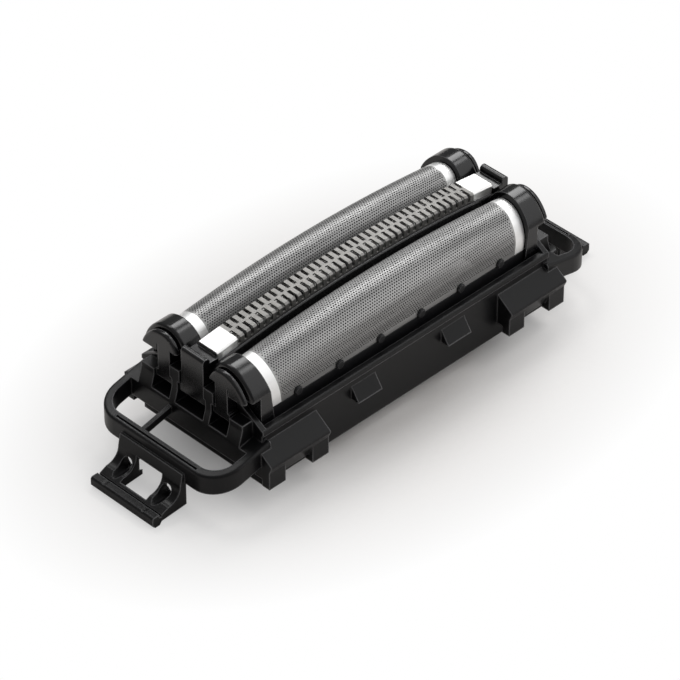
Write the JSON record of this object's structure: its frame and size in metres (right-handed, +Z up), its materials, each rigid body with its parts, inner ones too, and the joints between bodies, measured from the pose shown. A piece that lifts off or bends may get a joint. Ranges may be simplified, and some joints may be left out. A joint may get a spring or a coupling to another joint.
{
  "type": "shaver foil head",
  "caption": "Replacement head for an electric foil shaver: a black tray frame with end loops and latch tabs that carries floating arched foils either side of a slit comb with its cutter.",
  "frame": {"origin": "middle of the head, on the plane the feet of the two latch tabs stand on", "axes": "+X along the foils, +Y to the rear, +Z up towards the skin side"},
  "size_m": [0.0678, 0.0228, 0.016],
  "materials": {
    "frame_plastic": "black moulded plastic, satin",
    "cap_plastic": "black moulded plastic, smooth",
    "strip_plastic": "black moulded plastic",
    "foil_steel": "thin perforated steel with plain polished ends",
    "comb_steel": "slit steel with plain polished ends",
    "cutter_steel": "ground steel blade",
    "spring_steel": "bright drawn wire",
    "carrier_plastic": "dark moulded plastic"
  },
  "bodies": {
    "cassette": {"cassette_frame": "frame_plastic"},
    "front_head": {"front_foil": "foil_steel", "front_left_cap": "cap_plastic", "front_right_cap": "cap_plastic", "front_outer_strip": "strip_plastic", "front_inner_strip": "strip_plastic"},
    "rear_head": {"rear_foil": "foil_steel", "rear_left_cap": "cap_plastic", "rear_right_cap": "cap_plastic", "rear_outer_strip": "strip_plastic", "rear_inner_strip": "strip_plastic"},
    "mid_head": {"slit_comb": "comb_steel", "comb_left_block": "cap_plastic", "comb_right_block": "cap_plastic", "comb_front_rail": "cap_plastic", "comb_rear_rail": "cap_plastic"},
    "cutter": {"slit_cutter": "cutter_steel", "cutter_carrier": "carrier_plastic", "cutter_springs": "spring_steel", "cutter_pins": "spring_steel"}
  },
  "joints": [
    {"name": "front_head_float", "type": "slide", "parent": "cassette", "child": "front_head", "axis": [0, 0, 1], "range_m": [-0.0014, 0]},
    {"name": "rear_head_float", "type": "slide", "parent": "cassette", "child": "rear_head", "axis": [0, 0, 1], "range_m": [-0.0014, 0]},
    {"name": "mid_head_float", "type": "slide", "parent": "cassette", "child": "mid_head", "axis": [0, 0, 1], "range_m": [-0.0014, 0]},
    {"name": "cutter_stroke", "type": "slide", "parent": "mid_head", "child": "cutter", "axis": [1, 0, 0], "range_m": [-0.0009, 0.0009]}
  ]
}
